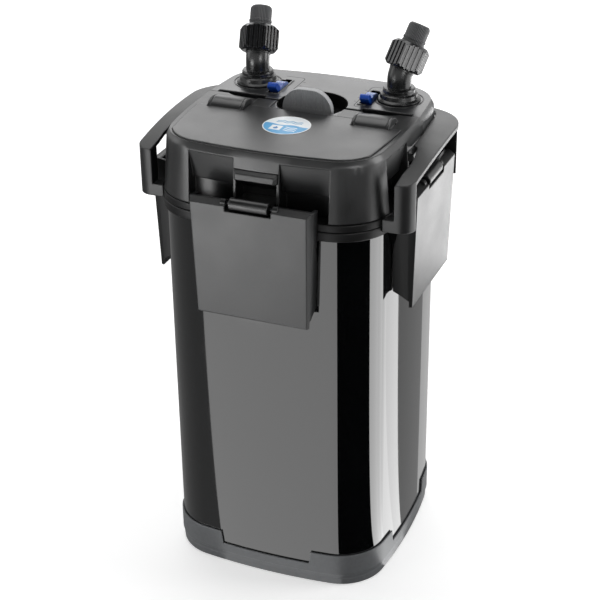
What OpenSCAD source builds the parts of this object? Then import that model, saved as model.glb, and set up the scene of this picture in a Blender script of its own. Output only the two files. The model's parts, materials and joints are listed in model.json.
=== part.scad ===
// Canister filter for ponds and large aquariums.
// Millimetres, +Z up, front face towards -Y, floor at z = 0, origin under the middle.

/* [Canister] */
// Width of the canister across its flats
canister_w = 212.5; // [204:0.5:220]
// Radius of the four upright corners
corner_r = 44; // [38:1:50]
// Radius of the slow bow of each side
side_bow_r = 540; // [480:10:700]
// Thickness of the canister's wall
canister_wall = 3; // [2:0.5:4]
// Height of the canister's mouth above the floor
canister_top = 366; // [330:1:400]
// Height of the collar round the mouth
collar_h = 8.5; // [6:0.5:12]
// How far the collar stands out from the canister
collar_out = 3; // [2:0.25:4]

/* [Base] */
// Height of the skirt that the canister stands in
base_h = 34; // [28:1:40]
// How far the skirt stands out from the canister
base_out = 1.75; // [1.5:0.25:3]
// Height of the dip in the middle of each side of the skirt
notch_z = 21; // [14:1:26]
// Width of the dip at its bottom
notch_w = 88; // [60:1:100]
// Height of the crease that runs round the skirt
crease_z = 12; // [8:1:18]
// Radius of a rubber foot
foot_r = 10; // [7:0.5:14]

/* [Head] */
// Height of the flange between the canister and the head
flange_h = 7; // [5:0.5:9]
// Height of the head from the flange to its deck
head_h = 54; // [50:1:60]
// How far the head's foot stands out from the canister
head_foot_out = 1.75; // [1:0.25:2.5]
// How far the head's shoulder lies inside the canister's face
shoulder_in = 2.25; // [1:0.25:4]
// How far the deck's edge lies inside the canister's face
deck_in = 5.25; // [4:0.25:7]
// Width of the recess between the corner pillars
recess_w = 128; // [120:1:134]
// Width of the ribbed band in the middle of a recess
band_w = 42; // [38:1:46]
// Height of the connector block above the deck
block_rise = 0; // [0:0.5:3]

/* [Clips] */
// Width of a clip's front face at its top
clip_w = 106; // [96:1:110]
// Length of a clip below its hinge
clip_len = 106; // [90:1:120]
// Distance of a clip's front face from the middle of the filter
clip_face = 125; // [123:0.5:128]
// Thickness of a clip's walls
clip_wall = 2.8; // [2:0.2:4]
// Radius of the steel hinge pins of the clips
clip_pin_r = 1.2; // [1:0.1:1.5]
// Radius of the hinge barrel on the head
barrel_r = 5.4; // [4.5:0.1:5.6]

/* [Hatch] */
// Width of the hatch over the prefilter
hatch_w = 192; // [184:1:194]
// Distance of the hatch's front edge from the middle of the filter
hatch_front = 98.7; // [96:0.1:99]
// Thickness of the hatch's plate
hatch_t = 3.5; // [2.5:0.5:4]
// Radius of the hatch's hinge pins
hatch_pin_r = 1.5; // [1:0.1:2]

/* [Lock lever] */
// Width of the lever
lever_w = 46.6; // [40:0.2:48]
// Height of the lever's top above the connector block
lever_rise = 17.3; // [10:0.1:20]
// Thickness of the lever
lever_t = 6.2; // [5:0.1:6.4]

/* [Connectors] */
// Distance of each hose connector from the middle plane
connector_x = 69; // [66:0.5:71]
// Distance of the connectors behind the middle
connector_y = 60; // [56:0.5:62]
// Radius of a connector's neck
neck_r = 10.9; // [10:0.1:11.5]
// Radius of the spigot that the hose pushes over
spigot_r = 10; // [9:0.1:10.5]
// Length of the straight part of the spigot
spigot_len = 10; // [8:0.5:16]
// Radius of the water way through a connector
water_r = 7.5; // [6:0.1:8]
// Angle that a connector leans back
lean = 30; // [15:1:40]
// Way that the left connector leans, from straight back towards the left
left_turn = 12; // [0:1:60]
// Way that the right connector leans, from straight back towards the right
right_turn = 30; // [0:1:60]
// Width of a union nut across its flats
nut_w = 32; // [30:0.5:34]
// Height of a union nut
nut_h = 24; // [20:0.5:26]

/* [Valves] */
// Radius of a valve drum
drum_r = 14.5; // [12:0.5:15]
// Width of a valve drum
drum_w = 8.4; // [7:0.2:9]
// Reach of a flow lever from the drum's axis
flow_reach = 25.2; // [22:0.2:27]
// Thickness of a flow lever
flow_t = 6; // [4:0.5:8]

/* [Handles] */
// Distance of a handle's outer edge from the middle plane
handle_out = 129.4; // [127:0.2:131]
// Distance of a handle's front end in front of the middle
handle_front = 77.8; // [74:0.2:80]
// Width of a handle's bar in front
handle_w = 16; // [13:0.5:18]
// Thickness of a handle's plate
handle_t = 4; // [3:0.5:6]
// Radius of the plate's arch
bridge_r = 600; // [500:10:700]
// Height of the arch's crown above the head's foot
handle_rise = 41.7; // [38:0.1:43]
// Length of a handle's post along the side
post_len = 12; // [10:0.5:14]

/* [Pump] */
// Radius of the potted motor
motor_r = 27; // [22:0.5:30]
// Radius of the impeller's blades
impeller_r = 18.5; // [15:0.5:20]
// Radius of the magnet rotor
rotor_r = 9; // [7:0.25:10]
// Radius of the ceramic shaft
shaft_r = 2; // [1.5:0.1:2.5]
// Number of impeller blades
blades = 6; // [4:1:8]

/* [Filter media] */
// Number of stacked media baskets
baskets = 4;
// Thickness of a basket's wall
basket_wall = 2; // [1.5:0.25:3]
// Outer radius of the down tube
tube_r = 12; // [9:0.5:14]
// Thickness of the down tube's wall
tube_wall = 2; // [1.5:0.25:3]

/* [Cable gland] */
// Radius of the gland's cable way
cable_r = 3.4; // [2.5:0.1:4]
// Radius of the gland's body
gland_r = 6; // [5.5:0.25:7]

/* [Hidden] */
$fn = 96;
eps = 0.01;
// gap between pieces that stand beside each other
gap = 0.3;
// running clearance of a shaft in its hole
run = 0.05;
// clearance of a piece that is fixed in its hole
snug = 0.02;

// plan outline: a bow centre, a corner centre and the line that joins their arcs
half = canister_w / 2;
bow_c = side_bow_r - half;
arc_gap = side_bow_r - corner_r;
corner_c = (sqrt(2 * arc_gap * arc_gap - bow_c * bow_c) - bow_c) / 2;
join_x = corner_c / arc_gap;
join_y = (-corner_c - bow_c) / arc_gap;
wedge = 90;
side_wedge = [
    [0, 0], [corner_c, -corner_c], [corner_c + wedge * join_x, -corner_c + wedge * join_y],
    [-corner_c - wedge * join_x, -corner_c + wedge * join_y], [-corner_c, -corner_c]];
corner_wedge = [
    [corner_c, -corner_c], [corner_c + wedge * join_x, -corner_c + wedge * join_y],
    [corner_c + wedge, -corner_c - wedge], [corner_c - wedge * join_y, -corner_c - wedge * join_x]];

// heights of the base and the canister
foot_z = 1;
base_floor = 7.7;
can_z = base_floor + gap;
can_floor = can_z + canister_wall;
collar_z = canister_top - collar_h;

// heights of the head
head_z = canister_top + flange_h;
deck_z = head_z + head_h;
shoulder_z = deck_z - 5.5;
seat_z = deck_z - 6;
block_z = deck_z + block_rise;
seam_z = deck_z - 15;
plug_z = deck_z - 27;
flange_out = 2.6;
inside = -canister_wall;

// the head's outer face leans in between its foot and its shoulder
function face_out(z) = head_foot_out
    - (head_foot_out + shoulder_in) * (z - head_z) / (shoulder_z - head_z);

// recesses and the hinge barrels in them
recess_top = shoulder_z - 1;
pocket_z = head_z + 21;
pocket_in = half - 16.25;
band_rib = 2.5;
lintel_z = head_z + 30;
lintel_h = 9;
lintel_out = 4.5;
lug_tongue = 3;
peg_r = 1.8;
peg_x = 12;

// clips
clip_axis = clip_face - 5.5;
clip_axis_z = head_z + 13;
clip_top = clip_axis_z + 2;
clip_bottom = clip_axis_z - clip_len;
clip_low_face = clip_face - 3.1;
clip_taper = atan(3.2 / clip_len);
clip_side = clip_w / 2 + 3;
ear_r = 3.4;
ear_w = 5;
notch_half = band_w / 2;
barrel_half = notch_half - 3.5;

// hatch, its hinge and the well under it
hinge_y = 0.5;
hinge_z = deck_z - 0.5;
hatch_z = deck_z + 1;
hatch_rear = -1.8;
knuckle_in = 53.6;
knuckle_out = 83;
cheek_t = 2.3;
knuckle_r = 5;
cap_r = 15.7;
cap_y = -4.5;
cap_z = deck_z - 9;
cap_front = -17;
cap_rear = 7.6;
well_x = hatch_w / 2 - 20;
well_front = 14.7 - hatch_front;
well_rear = -21;
well_r = 20;
well_z = head_z + 6;

// lock lever and the scoop behind it
lever_axis_y = 15.5;
lever_axis_z = block_z - 8.5;
lever_front = lever_axis_y - lever_t;
lever_pin_r = 1.5;
lever_round = 18.5;
lever_lug = 3.4;
scoop_r = 32;
scoop_y = 22.6;
scoop_z = lever_axis_z - 3.9;
block_front = 28;
block_groove = 5.5;
block_mid_front = 23;
block_mid_x = 46;
groove_x = 93;

// valves
drum_x = 44;
drum_y = 54;
drum_z = block_z - 10;
journal_r = 4;
slot_y = 17.8;
slot_out = 50;
lever_rest = 45;

// connectors
seat_r = 12;
bend_r = 18;
neck_z = 18;
nut_s = 1;
spigot_s = nut_s + nut_h;

// valve spindles, held in the block's wall short of the connectors' seats
spindle_in = drum_x - 9.8;
spindle_out = connector_x - seat_r - 4.2;

// handles
handle_top = head_z + handle_rise;
handle_crown = 29;
handle_foot = head_z - 11.5;
handle_in = handle_out - handle_w - 0.4;
handle_near = half - 26.25;
handle_far = handle_out + 20;
handle_bow = 1600;
handle_corner = 12.5;
wrap_r = 53;
wrap_x = handle_out - wrap_r - 0.2;
wrap_y = 39.4;
rear_post_y = 75;

// pump
pump_y = 46;
chamber_r = 22;
volute_r = 30;
skirt_z = canister_top - 14;
cover_t = 3;
motor_z = head_z + 0.4;
motor_top = plug_z - gap;
rotor_z = head_z + 3;
shaft_z0 = skirt_z - cover_t + 0.5;
shaft_z1 = motor_top - 3;
rotor_top = shaft_z1 - 3.5;
bush_r = 4;

// media
tube_x = -60;
tube_y = -62;
basket_z = can_floor + 1;
basket_h = (skirt_z - cover_t - 8 - basket_z) / baskets - 0.4;
basket_pitch = basket_h + 0.4;
basket_in = inside - 1.2;

// cable gland
gland_x = 74;
gland_z = head_z + 22;

// ---- shared shapes ----

// Plan outline of the housing, moved out by grow
module outline(grow = 0) {
    for (turn = [0:90:270]) rotate(turn) {
        intersection() {
            translate([0, bow_c]) circle(side_bow_r + grow, $fn = 720);
            polygon(side_wedge);
        }
        intersection() {
            translate([corner_c, -corner_c]) circle(corner_r + grow);
            polygon(corner_wedge);
        }
    }
}

// The outline raised from z0 to z1
module wall(z0, z1, grow = 0) {
    translate([0, 0, z0]) linear_extrude(z1 - z0) outline(grow);
}

// The same, leaning from grow0 at z0 to grow1 at z1
module leaning(z0, z1, grow0, grow1) {
    for (turn = [0:90:270]) rotate(turn) translate([0, 0, z0]) {
        intersection() {
            translate([0, bow_c, 0])
                cylinder(z1 - z0, side_bow_r + grow0, side_bow_r + grow1, $fn = 720);
            linear_extrude(z1 - z0) polygon(side_wedge);
        }
        intersection() {
            translate([corner_c, -corner_c, 0])
                cylinder(z1 - z0, corner_r + grow0, corner_r + grow1);
            linear_extrude(z1 - z0) polygon(corner_wedge);
        }
    }
}

module four_sides() {
    for (turn = [0:90:270]) rotate(turn) children();
}

module both_sides() {
    children();
    mirror([1, 0, 0]) children();
}

// A profile of (distance out, height) on the front side, extruded from x0 to x1
module front_slab(x0, x1) {
    translate([x1, 0, 0]) rotate([90, 0, -90]) linear_extrude(x1 - x0) children();
}

// A profile of (y, height), extruded from x0 to x1
module across(x0, x1) {
    translate([x0, 0, 0]) rotate([90, 0, 90]) linear_extrude(x1 - x0) children();
}

// A block between two corners
module block(low, high) {
    translate(low) cube(high - low);
}

// A rod along X at (y, z)
module rod(x0, x1, y, z, r) {
    translate([x0, y, z]) rotate([0, 90, 0]) cylinder(x1 - x0, r, r);
}

// A flat rectangle with round corners
module round_rect(x0, x1, y0, y1, r) {
    translate([x0 + r, y0]) square([x1 - x0 - 2 * r, y1 - y0]);
    translate([x0, y0 + r]) square([x1 - x0, y1 - y0 - 2 * r]);
    for (x = [x0 + r, x1 - r], y = [y0 + r, y1 - r]) translate([x, y]) circle(r);
}

// ---- base and canister ----

foot_at = half - 34;

module foot_places() {
    for (x = [-foot_at, foot_at], y = [-foot_at, foot_at]) translate([x, y, 0]) children();
}

module base_skirt() color("#2b2c2e") difference() {
    union() {
        leaning(foot_z, crease_z, base_out - 1.5, base_out - 0.6);
        wall(crease_z, base_h, base_out);
    }
    wall(base_floor, base_h + 1, gap);
    four_sides() front_slab_notch();
    foot_places() translate([0, 0, -1]) {
        cylinder(4.2, foot_r + snug, foot_r + snug);
        cylinder(base_h, 3.5 + snug, 3.5 + snug);
    }
}

// The dip in the middle of one side of the skirt
module front_slab_notch() {
    flare = 2;
    depth = base_h - notch_z;
    translate([0, -half + 12, notch_z]) rotate([90, 0, 0]) linear_extrude(20) polygon([
        [-notch_w / 2, 0], [notch_w / 2, 0],
        [notch_w / 2 + flare, depth + 1], [-notch_w / 2 - flare, depth + 1]]);
}

module rubber_feet() color("#1a1a1b") foot_places() {
    cylinder(3.2 - snug, foot_r - 0.8, foot_r);
    cylinder(base_floor - 0.5, 3.5, 3.5);
}

module canister() color("#0d0e10") difference() {
    union() {
        wall(can_z, collar_z);
        wall(collar_z, canister_top, collar_out);
    }
    wall(can_floor, canister_top + 1, inside);
}

seal_z = canister_top - 9;
seal_h = 3.2;
seal_w = 3;

module main_seal() color("#3a3a3c") difference() {
    wall(seal_z, seal_z + seal_h, inside - snug);
    wall(seal_z - 1, seal_z + seal_h + 1, inside - snug - seal_w);
}

// ---- head ----

module head_base() color("#232426") difference() {
    union() {
        wall(canister_top + 0.2, head_z - 0.2, flange_out);
        wall(skirt_z, canister_top + 0.3, inside - 0.5);
    }
    difference() {
        wall(skirt_z - 1, canister_top - 3, inside - 6);
        translate([0, pump_y, skirt_z - 2]) cylinder(20, volute_r, volute_r);
        translate([tube_x, tube_y, skirt_z - 2]) cylinder(20, tube_r + 3, tube_r + 3);
    }
    difference() {
        wall(seal_z - 0.1, seal_z + seal_h + 0.1, inside + 1);
        wall(seal_z - 1, seal_z + seal_h + 1, inside - seal_w - 0.1);
    }
    translate([0, pump_y, skirt_z - 1]) {
        cylinder(canister_top - skirt_z + 1, chamber_r, chamber_r);
        cylinder(40, rotor_r + 1.5, rotor_r + 1.5);
    }
    translate([tube_x, tube_y, skirt_z - 1]) {
        cylinder(canister_top - skirt_z + 1, tube_r + snug, tube_r + snug);
        cylinder(40, tube_r - tube_wall, tube_r - tube_wall);
    }
}

// The space between the corner pillars on all four sides, without the ribbed bands
module recesses() {
    difference() {
        four_sides() both_sides() {
            block([band_w / 2, -half - 8, head_z - 1], [recess_w / 2, -pocket_in, recess_top]);
        }
        leaning(pocket_z, recess_top + 1, face_out(pocket_z) - 8.5, -shoulder_in - 0.4);
        wall(head_z - 2, pocket_z + eps, pocket_in - half);
    }
}

// The channel below the lintel of each ribbed band
module band_channels() {
    x = band_w / 2 - band_rib;
    four_sides() front_slab(-x, x) polygon([
        [pocket_in, head_z - 1], [pocket_in, pocket_z - 3], [half - 9, lintel_z - 4],
        [half - 5, lintel_z], [half + 8, lintel_z], [half + 8, head_z - 1]]);
}

// The head's leaning outer face on all sides, moved out by grow
module head_face(grow) {
    leaning(head_z + 0.2, shoulder_z, face_out(head_z) + grow, -shoulder_in + grow);
}

module catch_bar() {
    face = half + face_out(lintel_z);
    x = band_w / 2 - 1;
    difference() {
        intersection() {
            front_slab(-x, x) polygon([
                [face - 6, lintel_z], [face + lintel_out - 1, lintel_z],
                [face + lintel_out, lintel_z + 1.5], [face + lintel_out - 1, lintel_z + 6],
                [face - 1, lintel_z + lintel_h], [face - 6, lintel_z + lintel_h]]);
            linear_extrude(600) polygon([
                [-x, -face + 8], [-x, -face], [-x + 3, -face - 5],
                [x - 3, -face - 5], [x, -face], [x, -face + 8]]);
        }
        head_face(snug);
    }
    both_sides() catch_peg(peg_r);
}

// One of the two pegs that hold a catch bar in the head's face
module catch_peg(r) {
    translate([peg_x, -half - 2, lintel_z + 4.5]) rotate([-90, 0, 0]) cylinder(7, r, r);
}

module catch_bars() color("#2b2c2e") four_sides() catch_bar();

// A lug's tongue, grown by play on every side
module lug_tongue_block(play) {
    block(
        [-barrel_half + 3 - play, -pocket_in - eps, clip_axis_z - 6 - play],
        [barrel_half - 3 + play, -pocket_in + lug_tongue + play, clip_axis_z - 3 + play]);
}

module clip_lug() {
    difference() {
        front_slab(-barrel_half, barrel_half) {
            translate([clip_axis, clip_axis_z]) circle(barrel_r);
            polygon([
                [pocket_in, clip_axis_z - 6.5], [clip_axis, clip_axis_z - barrel_r],
                [clip_axis, clip_axis_z], [clip_axis - 7, clip_axis_z], [pocket_in, clip_axis_z - 2]]);
        }
        rod(-30, 30, -clip_axis, clip_axis_z, clip_pin_r + snug);
    }
    lug_tongue_block(0);
}

module clip_lugs() color("#2b2c2e") four_sides() clip_lug();

// Plan of the hatch up to its rear edge
module hatch_plan(grow = 0) {
    bow = side_bow_r;
    side = hatch_w / 2 + grow;
    intersection() {
        translate([0, half - hatch_front - 9]) outline(-9 + 0.3 + grow);
        translate([side - bow, 0]) circle(bow, $fn = 720);
        translate([bow - side, 0]) circle(bow, $fn = 720);
        union() {
            translate([-half, -2 * half]) square([2 * half, 2 * half - 13 + grow]);
            x = knuckle_in - cheek_t - gap;
            translate([-x, -half]) square([2 * x, half + hatch_rear + grow]);
        }
    }
}

// Arched profile that the hatch's knuckles and the head's cheeks share
module cap_profile(front, rear, low) {
    intersection() {
        translate([cap_y, cap_z]) circle(cap_r);
        polygon([[front, low], [front, cap_z + cap_r + 1], [rear, cap_z + cap_r + 1], [rear, low]]);
    }
}

// Plan of the connector block, moved out by grow
module block_plan(grow = 0) {
    mid = scoop_r + grow;
    far = half + 20;
    side = block_front - block_groove + 0.5;
    polygon([
        [-mid, 0.6 - grow], [mid, 0.6 - grow], [mid, block_mid_front - grow],
        [block_mid_x + grow, block_mid_front - grow], [block_mid_x + grow, block_front - grow],
        [groove_x + gap - grow, block_front - grow], [groove_x + gap - grow, side - grow],
        [far, side - grow], [far, far], [-far, far], [-far, side - grow],
        [-groove_x - gap + grow, side - grow], [-groove_x - gap + grow, block_front - grow],
        [-block_mid_x - grow, block_front - grow], [-block_mid_x - grow, block_mid_front - grow],
        [-mid, block_mid_front - grow]]);
}

plug_x = 88;
plug_rear = 84;

module head_shell() color("#2b2c2e") difference() {
    union() {
        difference() {
            union() {
                head_face(0);
                leaning(shoulder_z, deck_z, -shoulder_in, -deck_in);
                block([-50.5, hatch_rear + 0.5, deck_z - 3], [50.5, block_mid_front, deck_z + 0.8]);
            }
            recesses();
            band_channels();
            // seat of the hatch and the well of the prefilter
            translate([0, 0, seat_z]) linear_extrude(20) hatch_plan(0.5);
            translate([0, 0, well_z]) linear_extrude(60)
                round_rect(-well_x, well_x, well_front, well_rear, well_r);
            translate([0, 0, seat_z - 2]) linear_extrude(60)
                round_rect(-well_x - 3, well_x + 3, well_front - 3, well_rear + 3, well_r + 3);
            // pockets for the knuckles of the hatch
            both_sides() block(
                [knuckle_in - gap, cap_front - gap, hinge_z - 8], [knuckle_out + gap, 9.6, 450]);
            // room for the motor, from below
            translate([0, 0, head_z - 1]) linear_extrude(deck_z - 19 - head_z + 1)
                round_rect(-plug_x + 2.5, plug_x - 2.5, -14, 84, 20);
            // seat of the connector block
            translate([0, 0, seam_z]) linear_extrude(60) block_plan(gap);
            translate([0, 0, plug_z - 1]) linear_extrude(60)
                round_rect(-plug_x - gap, plug_x + gap, 17.2, plug_rear + gap, 20);
            // the groove in front of the block and the scoop behind the lock lever
            both_sides() block(
                [block_mid_x, block_front - block_groove, deck_z - 6], [groove_x, block_front + 1, 600]);
            translate([0, scoop_y, seam_z]) cylinder(60, scoop_r, scoop_r);
            // hole of the cable gland
            translate([gland_x, half, gland_z]) rotate([90, 0, 0])
                cylinder(40, gland_r + snug, gland_r + snug);
        }
        both_sides() {
            for (x = [knuckle_in - gap - cheek_t, knuckle_out + gap]) across(x, x + cheek_t)
                cap_profile(cap_front + 0.3, 9.6, seat_z - 4);
        }
    }
    four_sides() {
        lug_tongue_block(snug);
        both_sides() catch_peg(peg_r + snug);
    }
    both_sides() rod(knuckle_in - 3.5, knuckle_out + 3.5, hinge_y, hinge_z, hatch_pin_r + snug);
}

module cable_gland() color("#1c1c1d") translate([gland_x, 0, gland_z]) rotate([-90, 0, 0]) {
    difference() {
        union() {
            translate([0, 0, 84]) cylinder(22, gland_r, gland_r);
            translate([0, 0, 102.5]) cylinder(3, gland_r + 2.5, gland_r + 2.5);
            translate([0, 0, 105.5 - eps]) cylinder(5, gland_r + 1, gland_r - 1);
        }
        cylinder(120, cable_r, cable_r);
    }
}

// ---- connector block and its lever ----

module connector_block() color("#333436") difference() {
    union() {
        difference() {
            intersection() {
                union() {
                    leaning(seam_z + gap, shoulder_z, face_out(seam_z), -shoulder_in);
                    leaning(shoulder_z, block_z, -shoulder_in, -deck_in);
                }
                translate([0, 0, seam_z]) linear_extrude(60) block_plan(0);
            }
            translate([0, scoop_y, scoop_z]) cylinder(60, scoop_r, scoop_r);
        }
        // lugs of the lock lever
        both_sides() across(lever_w / 2 + gap, lever_w / 2 + gap + lever_lug) {
            translate([lever_axis_y, lever_axis_z]) circle(4);
            translate([lever_axis_y - 4, scoop_z - 0.5]) square([8, lever_axis_z - scoop_z + 0.5]);
        }
        translate([0, 0, plug_z]) linear_extrude(seam_z - plug_z + 1)
            round_rect(-plug_x, plug_x, 17.5, plug_rear, 20);
        both_sides() translate([connector_x, connector_y, plug_z - 18]) cylinder(19, 16, 16);
        // raised rims of the valve slots
        both_sides() block(
            [drum_x - drum_w / 2 - 1.8, drum_y - slot_y - 1.5, block_z - 1],
            [slot_out - 4, drum_y + slot_y + 1.5, block_z + 0.8]);
    }
    rod(-30, 30, lever_axis_y, lever_axis_z, lever_pin_r + snug);
    both_sides() {
        // slot of the valve drum
        block(
            [drum_x - drum_w / 2 - gap, drum_y - slot_y, drum_z - drum_r - 0.5],
            [slot_out, drum_y + slot_y, 600]);
        rod(spindle_in - 0.2, spindle_out + gap, drum_y, drum_z, journal_r + run);
        // seat and water way of the connector
        translate([connector_x, connector_y, block_z - 16]) cylinder(60, seat_r + run, seat_r + run);
        translate([connector_x, connector_y, plug_z - 20]) cylinder(60, water_r, water_r);
        // ring engraved round the connector
        translate([connector_x, connector_y, block_z - 0.8]) difference() {
            cylinder(10, 22.4, 22.4);
            translate([0, 0, -1]) cylinder(12, 21.4, 21.4);
        }
    }
}

// Front view of the lever: a flat crown with two large round shoulders
module lever_front_view() {
    x = lever_w / 2 - lever_round;
    top = block_z + lever_rise;
    low = lever_axis_z - 3.5;
    intersection() {
        union() {
            for (s = [-1, 1]) translate([s * x, top - lever_round]) circle(lever_round);
            translate([-x, low]) square([2 * x, top - low]);
            translate([-lever_w / 2, low]) square([lever_w, top - lever_round - low]);
        }
        translate([-lever_w, low]) square([2 * lever_w, 60]);
    }
}

module lock_lever() color("#3c3d3f") difference() {
    union() {
        translate([0, lever_axis_y, 0]) rotate([90, 0, 0]) linear_extrude(lever_t) lever_front_view();
        rod(-lever_w / 2, lever_w / 2, lever_axis_y, lever_axis_z, 3.5);
    }
    // grip grooves on the front
    for (i = [-7:7]) translate([i * 2.4 - 0.4, lever_front - 1, block_z])
        cube([0.8, 1.4, lever_rise + 2]);
    rod(-30, 30, lever_axis_y, lever_axis_z, lever_pin_r + run);
}

module lock_lever_pin() color("#8a8d90")
    rod(-lever_w / 2 - 3.2, lever_w / 2 + 3.2, lever_axis_y, lever_axis_z, lever_pin_r);

// ---- valves ----

module valve_drum() difference() {
    rod(drum_x - drum_w / 2, drum_x + drum_w / 2, drum_y, drum_z, drum_r);
    rod(drum_x - 20, drum_x + 20, drum_y, drum_z, journal_r + snug);
}

module valve_spindle() rod(spindle_in, spindle_out, drum_y, drum_z, journal_r);

module flow_lever() {
    x = drum_w / 2 - 0.3;
    difference() {
        translate([0, drum_y, drum_z]) rotate([lever_rest, 0, 0]) across(drum_x - x, drum_x + x + 1.2) {
            translate([-flow_t / 2, 0]) square([flow_t, flow_reach - 2]);
            translate([-flow_t / 2 + 2, 0]) square([flow_t - 4, flow_reach]);
            for (s = [-1, 1]) translate([s * (flow_t / 2 - 2), flow_reach - 2]) circle(2);
        }
        rod(drum_x - 20, drum_x + 20, drum_y, drum_z, drum_r);
    }
}

module valve_drum_left() color("#b9bfe6") mirror([1, 0, 0]) valve_drum();
module valve_drum_right() color("#b9bfe6") valve_drum();
module valve_spindle_left() color("#b9bfe6") mirror([1, 0, 0]) valve_spindle();
module valve_spindle_right() color("#b9bfe6") valve_spindle();
module flow_lever_left() color("#1667c2") mirror([1, 0, 0]) flow_lever();
module flow_lever_right() color("#1667c2") flow_lever();

// ---- hose connectors ----

// Places its children at the top of the neck, upright, leaning or at the bend's end
module at_bend_end() {
    translate([0, bend_r, neck_z]) rotate([-lean, 0, 0]) translate([0, -bend_r, 0]) children();
}

// Bend of radius r from the neck towards +Y
module bend(r) {
    translate([0, bend_r, neck_z]) rotate([0, 90, 0]) rotate([0, 0, -90])
        rotate_extrude(angle = -lean) translate([bend_r, 0]) rotate(90) circle(r);
}

module connector() difference() {
    union() {
        translate([0, 0, -15.5]) rotate_extrude() polygon([
            [0, 0], [seat_r, 0], [seat_r, 15.8], [19.6, 15.8], [19.6, 17], [18.6, 17.8], [17.2, 18.6],
            [16.6, 22], [15.2, 22.8], [14.6, 23.6], [14.6, 26.4], [13.8, 27.6], [neck_r, 28],
            [neck_r, 15.5 + neck_z], [0, 15.5 + neck_z]]);
        bend(neck_r);
        at_bend_end() translate([0, 0, -0.9]) cylinder(1.5, neck_r + 0.5, neck_r + 0.5);
        at_bend_end() rotate_extrude() polygon([
            [0, 0], [neck_r, 0], [neck_r, spigot_s], [neck_r - 0.4, spigot_s],
            [neck_r - 0.4, spigot_s + 1.6], [spigot_r, spigot_s + 2], [spigot_r, spigot_s + 3],
            [neck_r - 0.4, spigot_s + 3.4], [neck_r - 0.4, spigot_s + 5],
            [spigot_r, spigot_s + 5.4], [spigot_r, spigot_s + 5.4 + spigot_len],
            [spigot_r - 0.5, spigot_s + 6.9 + spigot_len],
            [spigot_r - 1.8, spigot_s + 8.2 + spigot_len], [0, spigot_s + 8.2 + spigot_len]]);
    }
    translate([0, 0, -20]) cylinder(20 + neck_z, water_r, water_r);
    bend(water_r);
    at_bend_end() cylinder(80, water_r, water_r);
    translate([0, 0, -11]) difference() {
        cylinder(2.6, seat_r + 1, seat_r + 1);
        translate([0, 0, -1]) cylinder(5, seat_r - 1.9, seat_r - 1.9);
    }
}

module union_nut() {
    r = nut_w / 2 / cos(30);
    grooves = [-6.6, -2.2, 2.2, 6.6];
    difference() {
        intersection() {
            cylinder(nut_h, r, r, $fn = 6);
            rotate_extrude() polygon([
                [0, 0], [r - 3.4, 0], [r, 3.2], [r, nut_h - 4], [r - 4.6, nut_h], [0, nut_h]]);
        }
        for (turn = [30:60:330], x = grooves) rotate(turn)
            block([nut_w / 2 - 0.9, x - 0.9, -1], [nut_w / 2 + 1, x + 0.9, nut_h + 1]);
        translate([0, 0, -1]) cylinder(nut_h + 2, neck_r + run, neck_r + run);
        translate([0, 0, 5]) cylinder(nut_h - 9, neck_r + 2.5, neck_r + 2.5);
    }
}

module at_connector(x, turn) {
    translate([x, connector_y, block_z]) rotate(turn) children();
}

module connector_left() color("#5d5f61") at_connector(-connector_x, left_turn) connector();
module connector_right() color("#5d5f61") at_connector(connector_x, -right_turn) connector();
module union_nut_left() color("#46484a")
    at_connector(-connector_x, left_turn) at_bend_end() translate([0, 0, nut_s]) union_nut();
module union_nut_right() color("#46484a")
    at_connector(connector_x, -right_turn) at_bend_end() translate([0, 0, nut_s]) union_nut();

module connector_seals() color("#1a1a1b") for (x = [-connector_x, connector_x])
    translate([x, connector_y, block_z - 10.8]) difference() {
        cylinder(2.2, seat_r, seat_r);
        translate([0, 0, -1]) cylinder(5, seat_r - 1.85, seat_r - 1.85);
    }

// ---- clips ----

// What lies outside a clip's two leaning sides and their bevelled front edges
module clip_outside(side, bevel) {
    both_sides() translate([0, 0, clip_top]) rotate([0, clip_taper, 0])
        translate([0, 0, -clip_len - 30]) linear_extrude(clip_len + 60) polygon([
            [side, -60], [side, -clip_face + 7], [side - bevel, -clip_face],
            [side - bevel, -clip_face - 10], [side + 60, -clip_face - 10], [side + 60, -60]]);
}

module clip() {
    rim = half + flange_out;
    body_gap = half - 1.75;
    difference() {
        union() {
            difference() {
                front_slab(-70, 70) polygon([
                    [rim - 2, clip_top - 1.8], [clip_face - 7, clip_top], [clip_face, clip_top - 3],
                    [clip_low_face, clip_bottom], [clip_low_face - clip_wall, clip_bottom],
                    [clip_low_face - clip_wall, clip_bottom + 6], [half + 6.5, clip_bottom + 10],
                    [body_gap, clip_bottom + 14], [body_gap, clip_bottom + 55],
                    [rim - 0.7, clip_bottom + 71], [rim - 1.6, clip_bottom + 73]]);
                clip_outside(clip_side, 3);
                difference() {
                    front_slab(-70, 70) polygon([
                        [half - 20, clip_top + 10], [clip_face - 10.4, clip_top + 10],
                        [clip_face - 10.4, clip_top - 5.4], [clip_face - clip_wall, clip_top - 6.4],
                        [clip_low_face - clip_wall, clip_bottom - 1], [half - 20, clip_bottom - 1]]);
                    clip_outside(clip_side - clip_wall, 1);
                }
            }
            front_slab(-30, 30) polygon([
                [clip_face - clip_wall - 0.5, collar_z - 0.3], [half + 0.9, collar_z - 0.3],
                [half + 0.9, collar_z - 2], [half + 3.2, collar_z - 4.5],
                [clip_face - clip_wall - 1, collar_z - 14]]);
            both_sides() rod(notch_half + 0.4, notch_half + ear_w, -clip_axis, clip_axis_z, ear_r);
        }
        block([-notch_half, -clip_face - 5, clip_axis_z - 5.5], [notch_half, -half - 7, clip_top + 9]);
        rod(-notch_half - ear_w + 0.5, notch_half + ear_w - 0.5, -clip_axis, clip_axis_z,
            clip_pin_r + run);
    }
}

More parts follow.
